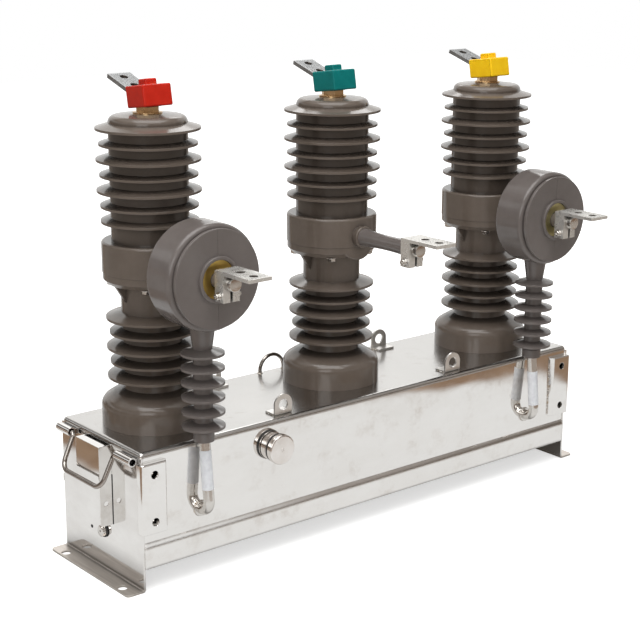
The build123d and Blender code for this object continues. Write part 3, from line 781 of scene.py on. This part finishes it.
# Bolts under the collars
collar_bolt_circle = 58.0 * MM
collar_bolt_turn = math.radians(50.0)
collar_bolt_flats = 12.0 * MM
collar_bolt_head = 5.0 * MM
collar_washer_radius = 8.0 * MM
collar_washer = 1.3 * MM


def make_collar_bolts():
    for name in pole_names:
        high, middle = box_of(f"pole_lower_{name}")[1:]
        mesh = bmesh.new()
        for quarter in range(4):
            angle = collar_bolt_turn + quarter * math.pi / 2
            x = middle.x + collar_bolt_circle * math.cos(angle)
            y = middle.y + collar_bolt_circle * math.sin(angle)
            under = frame_at((x, y, high.z), (0, 0, -1), (math.cos(angle), math.sin(angle), 0))
            washer(mesh, under, collar_washer_radius, collar_washer)
            hex_head(mesh, raised(under, collar_washer), collar_bolt_flats, collar_bolt_head)
        piece(f"collar_bolts_{name}", mesh, "zinc")


# Knurled faces of the terminal pads, and painted shade in their bolt holes
knurl_pitch = 3.2 * MM
knurl_height = 0.32 * MM
knurl_edge = 0.8 * MM
knurl_bare = 0.6 * MM
top_pad_angle = math.radians(17.5)
top_pad_thickness = 6.0 * MM
top_pad_hole_radius = 6.5 * MM
top_pad_holes = (14.0 * MM, 43.5 * MM)
top_pad_shown = 56.0 * MM
bore_shade_wall = 0.35 * MM
bore_setback = 0.25 * MM
bore_sides = 48
load_pad_thickness = 5.0 * MM
knurl_crease = 5.0


def shade_bore(mesh, mouth, radius, depth):
    """A thin dark ring of painted shade inside a bolt hole, from its mouth downwards."""
    inner = radius - bore_shade_wall
    profile = ((radius, 0), (radius, -depth), (inner, bore_shade_wall - depth), (inner, -bore_shade_wall))
    turned_ring(mesh, profile, mouth, bore_sides)


def make_pad_face(kind, name, place, size, holes, hole_radius, thickness, finish):
    """The knurl of a pad, on the local XY plane of place, and rings of painted shade in its bolt holes."""
    mesh = bmesh.new()
    pyramids(mesh, place, *size, knurl_pitch, knurl_height, holes, hole_radius + knurl_bare)
    piece(f"{kind}_knurl_{name}", mesh, finish, crease=knurl_crease)
    mesh = bmesh.new()
    for hole_x, hole_y in holes:
        mouth = raised(place, -bore_setback) @ Matrix.Translation((hole_x, hole_y, 0))
        shade_bore(mesh, mouth, hole_radius, thickness - 2 * bore_setback)
    piece(f"{kind}_bore_shades_{name}", mesh, "bore_shade")


def make_pads():
    for name in pole_names:
        low, high = box_of(f"front_terminal_{name}")[:2]
        mount = mounts[f"load_pad_{name}"]
        spacing = mount["dims"]["spacing_y_mm"] * MM
        hole_radius = mount["dims"]["hole_r_mm"] * MM
        corner = Vector((low.x + knurl_edge, low.y + knurl_edge, high.z))
        size = (high.x - low.x - 2 * knurl_edge, high.y - low.y - 2 * knurl_edge)
        holes = []
        for sign in (-0.5, 0.5):
            hole_y = mount["pos_m"][1] + sign * spacing
            holes.append((mount["pos_m"][0] - corner.x, hole_y - corner.y))
        place = frame_at(corner, (0, 0, 1), (1, 0, 0))
        make_pad_face("load_pad", name, place, size, holes, hole_radius, load_pad_thickness, "knurl")

        low, high = box_of(f"top_terminal_{name}")[:2]
        rise = Vector((0, math.cos(top_pad_angle), math.sin(top_pad_angle)))
        normal = Vector((0, -math.sin(top_pad_angle), math.cos(top_pad_angle)))
        far_y = high.y - top_pad_thickness * math.sin(top_pad_angle)
        far = Vector((high.x - knurl_edge, far_y, high.z))
        width = high.x - low.x - 2 * knurl_edge
        size = (width, top_pad_shown)
        holes = [(width / 2, along - knurl_edge) for along in top_pad_holes]
        place = frame_at(far - rise * knurl_edge, normal, (-1, 0, 0))
        make_pad_face(
            "line_pad", name, place, size, holes, top_pad_hole_radius, top_pad_thickness, "dull_tin"
        )


# Seal of the screw cap, with the turned dimple on its end
cap_seal_radius = 22.3 * MM
cap_seal_inner = 19.7 * MM
cap_seal_near = 8.2 * MM
cap_seal_far = 13.0 * MM
cap_seal_edge = 0.5 * MM
cap_dimple_radius = 1.6 * MM
cap_dimple = 0.5 * MM
dimple_foot_share = 1.5
dimple_outer_share = 1.3
dimple_inner_share = 1.1


def make_cap_fittings():
    low, high, middle = box_of("connector_cap")
    mesh = bmesh.new()
    turned_ring(
        mesh,
        ((cap_seal_inner, cap_seal_near), (cap_seal_radius - cap_seal_edge, cap_seal_near),
         (cap_seal_radius, cap_seal_near + cap_seal_edge), (cap_seal_radius, cap_seal_far - cap_seal_edge),
         (cap_seal_radius - cap_seal_edge, cap_seal_far), (cap_seal_inner, cap_seal_far)),
        frame_at((middle.x, high.y, middle.z), (0, -1, 0)),
    )
    piece("cap_seal", mesh, "rubber")
    mesh = bmesh.new()
    root = -sunk_share * cap_dimple
    turned_ring(
        mesh,
        ((cap_dimple_radius, root), (dimple_foot_share * cap_dimple_radius, root),
         (dimple_outer_share * cap_dimple_radius, cap_dimple),
         (dimple_inner_share * cap_dimple_radius, cap_dimple)),
        frame_at((middle.x, low.y, middle.z), (0, -1, 0)),
    )
    piece("cap_dimple", mesh, "cap")


# Left end: seal and head of the plug, a dark strip of painted shade in the gap at the hood's rib, rivet, and
# earth bolt on the back wall
plug_seal_rod = 1.2 * MM
plug_seal_share = 0.7
plug_head_radius = 8.6 * MM
plug_head = 7.6 * MM
plug_head_edge = 1.4 * MM
plug_socket_radius = 1.7 * MM
plug_socket = 2.2 * MM
rib_gap_half = 0.5 * MM
rib_gap_rise = 0.6 * MM
rib_gap_top = 157.0 * MM
rib_crest_share = 0.6
rivet_place = (31.0 * MM, 57.0 * MM)
rivet_radius = 2.6 * MM
rivet_height = 0.8 * MM
rivet_bore = 1.3 * MM
rivet_rim_share = 0.5
rivet_top_share = 0.7
earth_inset = 10.0 * MM
earth_height = 108.0 * MM
earth_washer_radius = 12.0 * MM
earth_washer = 2.5 * MM
earth_small_share = 0.85
earth_flats = 18.0 * MM
earth_head = 8.0 * MM


def make_plug():
    high, middle = box_of("end_plug")[1:]
    mesh = bmesh.new()
    seat = frame_at((high.x, middle.y, middle.z), (-1, 0, 0))
    seal_radius = plug_head_radius + plug_seal_share * plug_seal_rod
    o_ring(mesh, raised(seat, plug_seal_rod), seal_radius, plug_seal_rod)
    piece("plug_seal", mesh, "rubber")
    mesh = bmesh.new()
    lathe(
        mesh,
        ((plug_head_radius, 0), *soft_rim(plug_head_radius, plug_head, plug_head_edge),
         (plug_socket_radius, plug_head), (plug_socket_radius, plug_head - plug_socket)),
        seat,
    )
    piece("plug_head", mesh, "satin")


def make_rib_gap_shade():
    # A black strip that paints the shade in the gap where the hood's rib meets the end plate
    low, high = box_of("indicator_hood")[:2]
    mesh = bmesh.new()
    lower = []
    upper = []
    for out, aside in ((0, -1.0), (0, 1.0), (1, rib_crest_share), (1, -rib_crest_share)):
        x = high.x - out * rib_gap_rise
        y = low.y + aside * rib_gap_half - rib_gap_half
        lower.append(mesh.verts.new((x, y, low.z)))
        upper.append(mesh.verts.new((x, y, rib_gap_top)))
    join_rings(mesh, lower, upper)
    mesh.faces.new(list(reversed(lower)))
    mesh.faces.new(upper)
    piece("rib_gap_shade", mesh, "rubber")


def make_rivet():
    mesh = bmesh.new()
    wall_x = box_of("indicator_hood")[1].x
    lathe(
        mesh,
        ((rivet_radius, 0), (rivet_radius, rivet_rim_share * rivet_height),
         (rivet_top_share * rivet_radius, rivet_height),
         (rivet_bore, rivet_height), (rivet_bore, sunk_share * rivet_height)),
        frame_at((wall_x, *rivet_place), (-1, 0, 0)),
    )
    piece("end_rivet", mesh, "rubber")


def make_earth_bolt():
    mesh = bmesh.new()
    back = frame_at((housing_low.x + earth_inset, housing_high.y, earth_height), (0, 1, 0), (0, 0, 1))
    washer(mesh, back, earth_washer_radius, earth_washer)
    washer(mesh, raised(back, earth_washer), earth_small_share * earth_washer_radius, earth_washer)
    hex_head(mesh, raised(back, 2 * earth_washer), earth_flats, earth_head)
    piece("earth_bolt", mesh, "zinc")


# Welds of the lugs, ring and brackets
lug_weld = 1.5 * MM
lug_weld_inset = 4.0 * MM
ring_weld = 1.3 * MM
ring_weld_share = 0.4
ring_rod = 3.0 * MM
bracket_weld = {"left": 0.7 * MM, "right": 1.7 * MM}
bracket_weld_inset = 3.0 * MM


def make_welds():
    for row in ("front", "rear"):
        for side in outer_names:
            low, high = box_of(f"lifting_lug_{row}_{side}")[:2]
            mesh = bmesh.new()
            for index, x in enumerate((low.x, high.x)):
                start = (x, low.y + lug_weld_inset, lid_top)
                stop = (x, high.y - lug_weld_inset, lid_top)
                bead(mesh, (start, stop), lug_weld, f"{row}{side}{index}")
            piece(f"lug_weld_{row}_{side}", mesh, "weld")
    low, high, middle = box_of("rear_ring")
    mesh = bmesh.new()
    weld_radius = ring_rod + ring_weld_share * ring_weld
    for index, x in enumerate((low.x + ring_rod, high.x - ring_rod)):
        root = frame_at((x, middle.y, lid_top), (0, 0, 1))
        bead_ring(mesh, root, weld_radius, ring_weld, index)
    piece("ring_weld", mesh, "weld")
    for side in outer_names:
        low, high = box_of(f"corner_bracket_{side}")[:2]
        x = high.x if side == "left" else low.x
        mesh = bmesh.new()
        start = (x, housing_low.y, low.z + bracket_weld_inset)
        stop = (x, housing_low.y, high.z - bracket_weld_inset)
        bead(mesh, (start, stop), bracket_weld[side], side)
        piece(f"bracket_weld_{side}", mesh, "weld")


# Moulded skins of the terminal covers, a little fuller than the solids that they stand for
skin_shift = 1.6 * MM
skin_wider = 2.5 * MM
skin_deeper = 6.6 * MM


def make_cover_skins():
    for colour in ("red", "green", "yellow"):
        node = f"terminal_cover_{colour}"
        low, high = box_of(node)[:2]
        wide = 1 + skin_wider / (high.x - low.x)
        deep = 1 + skin_deeper / (high.y - low.y)
        mesh = bmesh.new()
        mesh.from_mesh(nodes[node].data)
        for point in mesh.verts:
            point.co.x = low.x + skin_shift + (point.co.x - low.x) * wide
            point.co.y = high.y - (high.y - point.co.y) * deep
        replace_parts(piece(f"cover_skin_{colour}", mesh, colour), node)


# Fuller skin on the rod of the handle, which thins to the solid's size in the knuckles
grip_thicker = 0.6 * MM
grip_half = 60.0 * MM
grip_fade = 5.0 * MM
same_point = 0.001 * MM


def make_grip_skin():
    node = "bail_handle"
    centre_y = box_of(node)[2].y
    mesh = bmesh.new()
    mesh.from_mesh(nodes[node].data)
    mesh.transform(nodes[node].matrix_world)
    bmesh.ops.remove_doubles(mesh, verts=mesh.verts, dist=same_point)
    bmesh.ops.recalc_face_normals(mesh, faces=mesh.faces)
    mesh.normal_update()
    shifts = []
    for point in mesh.verts:
        past = (abs(point.co.y - centre_y) - grip_half) / grip_fade
        shifts.append(point.normal * grip_thicker * (1 - min(1, max(0, past))))
    for point, shift in zip(mesh.verts, shifts):
        point.co += shift
    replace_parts(piece("grip_skin", mesh, "rod", "handle"), node)


# Crowns on the conductor rods, in front of the clamps
rod_proud = 7.0 * MM
rod_sunk = 0.2 * MM
crown_radius = 10.2 * MM
crown_height = 10.4 * MM
crown_edge = 1.2 * MM


def make_rod_crowns():
    for name in pole_names:
        low, _, middle = box_of(f"conductor_rod_{name}")
        mesh = bmesh.new()
        lathe(
            mesh,
            ((crown_radius, -rod_sunk), *soft_rim(crown_radius, crown_height, crown_edge)),
            frame_at((middle.x, low.y + rod_proud, middle.z), (0, -1, 0)),
        )
        piece(f"rod_crown_{name}", mesh, "zinc")


# Mould lines on the faces of the transformers
mould_half = 0.35 * MM
mould_height = 0.18 * MM
mould_inner = 35.0 * MM
mould_outer = 68.5 * MM
mould_face_setback = 4.5 * MM
mould_crest_share = 0.4
mould_sunk_share = 0.2


def make_mould_lines():
    crest = mould_crest_share * mould_half
    profile = (
        (-mould_half, mould_sunk_share), (-crest, -1.0), (crest, -1.0), (mould_half, mould_sunk_share),
    )
    for name in outer_names:
        centre = box_of(f"conductor_rod_{name}")[2]
        face_y = box_of(f"current_transformer_{name}")[0].y + mould_face_setback
        mesh = bmesh.new()
        for sign in (-1, 1):
            rings = []
            for reach in (mould_inner, mould_outer):
                z = centre.z + sign * reach
                rings.append([
                    mesh.verts.new((centre.x + x, face_y + share * mould_height, z)) for x, share in profile
                ])
            join_rings(mesh, *rings)
            mesh.faces.new(list(reversed(rings[0])))
            mesh.faces.new(rings[1])
        piece(f"mould_line_{name}", mesh, "coil")


# Camera, floor and light
def make_camera():
    forward = Vector((
        math.sin(camera_yaw) * math.cos(camera_pitch),
        math.cos(camera_yaw) * math.cos(camera_pitch),
        -math.sin(camera_pitch),
    ))
    level = Vector((math.cos(camera_yaw), -math.sin(camera_yaw), 0))
    above = level.cross(forward)
    right = level * math.cos(camera_roll) + above * math.sin(camera_roll)
    up = above * math.cos(camera_roll) - level * math.sin(camera_roll)
    data = bpy.data.cameras.new("camera")
    data.lens = camera_lens
    data.sensor_width = camera_sensor
    camera = bpy.data.objects.new("camera", data)
    turn = Matrix((right, up, -forward)).transposed().to_4x4()
    camera.matrix_world = Matrix.Translation(camera_place) @ turn
    bpy.context.scene.collection.objects.link(camera)
    bpy.context.scene.camera = camera


def floor_paper():
    """White paper to the camera with the object's shadow, and to mirrors paper that ends at a brown floor,
    with a painted shadow under the box.
    """
    g = Graph("floor_paper")
    path = g.node("ShaderNodeLightPath").outputs
    mirrored = g.math("MAXIMUM", path["Is Glossy Ray"], path["Is Transmission Ray"])
    distance = g.node("ShaderNodeVectorMath", operation="LENGTH")
    g.link(g.place, distance.inputs[0])
    far = g.span(distance.outputs["Value"], floor_glow, 1.0, floor_near, floor_far)
    axes = g.split()
    front = g.math("SUBTRACT", g.math("MULTIPLY_ADD", axes["X"], paper_slant, paper_front), axes["Y"])
    left_edge = g.math("MULTIPLY_ADD", axes["Y"], paper_left_slant, paper_left)
    left_end = g.math("SUBTRACT", left_edge, axes["X"])
    ends = g.math("MAXIMUM", left_end, g.math("SUBTRACT", axes["X"], paper_right))
    wobble = g.span(g.noise(6.0, 2.0, 0.5), -paper_edge, paper_edge)
    outside = g.math("ADD", g.math("MAXIMUM", front, ends), wobble)
    beyond = g.span(outside, 0.0, 1.0, -paper_edge, paper_edge)
    # Painted shadow: to mirrors the floor under the box glows dark instead of white
    covers = [
        g.span(g.math("ABSOLUTE", axes[axis]), 1.0, 0.0, half, half + shade_edge)
        for axis, half in zip("XY", shade_half)
    ]
    under = g.math("MULTIPLY", *covers)
    paper = g.ramp(g.noise(3.0, 3.0, 0.5), ((0.3, paper_dull), (0.7, paper_clean)))
    boards = g.ramp(g.noise(16.0, 6.0, 0.7), ((0.35, studio_brown), (0.65, studio_tan)))
    again = g.span(outside, 0.0, 1.0, boards_end, boards_end + boards_fade)
    brown = g.mix(again, boards, studio_far)
    open_floor = g.mix(beyond, paper_mirrored, brown)
    seen = g.mix(under, open_floor, studio_dark)
    boarded = g.math("SUBTRACT", beyond, again)
    dim = g.mix(boarded, dim_paper, dim_boards)
    g.set(base_color=g.mix(mirrored, paper, dim), roughness=0.9)
    g.sheen(0.0)
    g.set(emission_color=g.mix(mirrored, plain_white, seen))
    camera_part = g.math("MULTIPLY", path["Is Camera Ray"], far)
    mirror_part = g.math("MULTIPLY", mirrored, mirror_glow)
    g.set(emission_strength=g.math("ADD", camera_part, mirror_part))
    return g.material


def make_floor():
    material = floor_paper()
    mesh = bmesh.new()
    bmesh.ops.create_grid(mesh, x_segments=1, y_segments=1, size=floor_half)
    data = bpy.data.meshes.new("floor")
    mesh.to_mesh(data)
    mesh.free()
    data.materials.append(material)
    floor = bpy.data.objects.new("floor", data)
    floor.location.z = -floor_drop
    bpy.context.scene.collection.objects.link(floor)


def make_world():
    """White to the camera, a banded room to mirrors, and soft white light to the rest."""
    world = bpy.data.worlds.new("studio")
    bpy.context.scene.world = world
    g = Nodes(world, "Generated")
    axes = g.split()
    all_bands = (back_bands, front_bands, window_bands, left_bands)
    back, front, window, left = [g.ramp(axes["Z"], bands) for bands in all_bands]
    to_front = g.span(axes["Y"], 0.0, 1.0, front_start, front_full)
    to_left = g.span(axes["X"], 0.0, 1.0, left_start, left_full)
    past_window = g.span(axes["X"], 0.0, 1.0, window_side, window_side + window_fade)
    fronts = g.mix(past_window, window, front)
    backs = g.mix(to_left, back, left)
    room = g.background(g.mix(to_front, backs, fronts))
    light = g.tree.nodes["Background"]
    light.inputs["Color"].default_value = plain_white
    light.inputs["Strength"].default_value = world_level
    path = g.node("ShaderNodeLightPath").outputs
    unseen = g.choose(path["Is Glossy Ray"], light.outputs["Background"], room)
    clear = g.math("MAXIMUM", path["Is Camera Ray"], path["Is Transmission Ray"])
    shown = g.choose(clear, unseen, g.background(plain_white))
    g.link(shown, g.tree.nodes["World Output"].inputs["Surface"])


def make_lights():
    for name, place, size, energy in lamps:
        data = bpy.data.lights.new(name, "AREA")
        data.shape = "RECTANGLE"
        data.size, data.size_y = size
        data.energy = energy
        lamp = bpy.data.objects.new(name, data)
        direction = Vector(lamp_aim) - Vector(place)
        lamp.location = place
        lamp.rotation_mode = "QUATERNION"
        lamp.rotation_quaternion = direction.to_track_quat("-Z", "Y")
        bpy.context.scene.collection.objects.link(lamp)


dress_nodes()
make_tube_fittings()
make_clamp_screws()
make_collar_bolts()
make_pads()
make_cap_fittings()
make_plug()
make_rib_gap_shade()
make_rivet()
make_earth_bolt()
make_welds()
make_cover_skins()
make_grip_skin()
make_rod_crowns()
make_mould_lines()
make_camera()
make_floor()
make_world()
make_lights()
bpy.context.scene.view_settings.view_transform = "Standard"
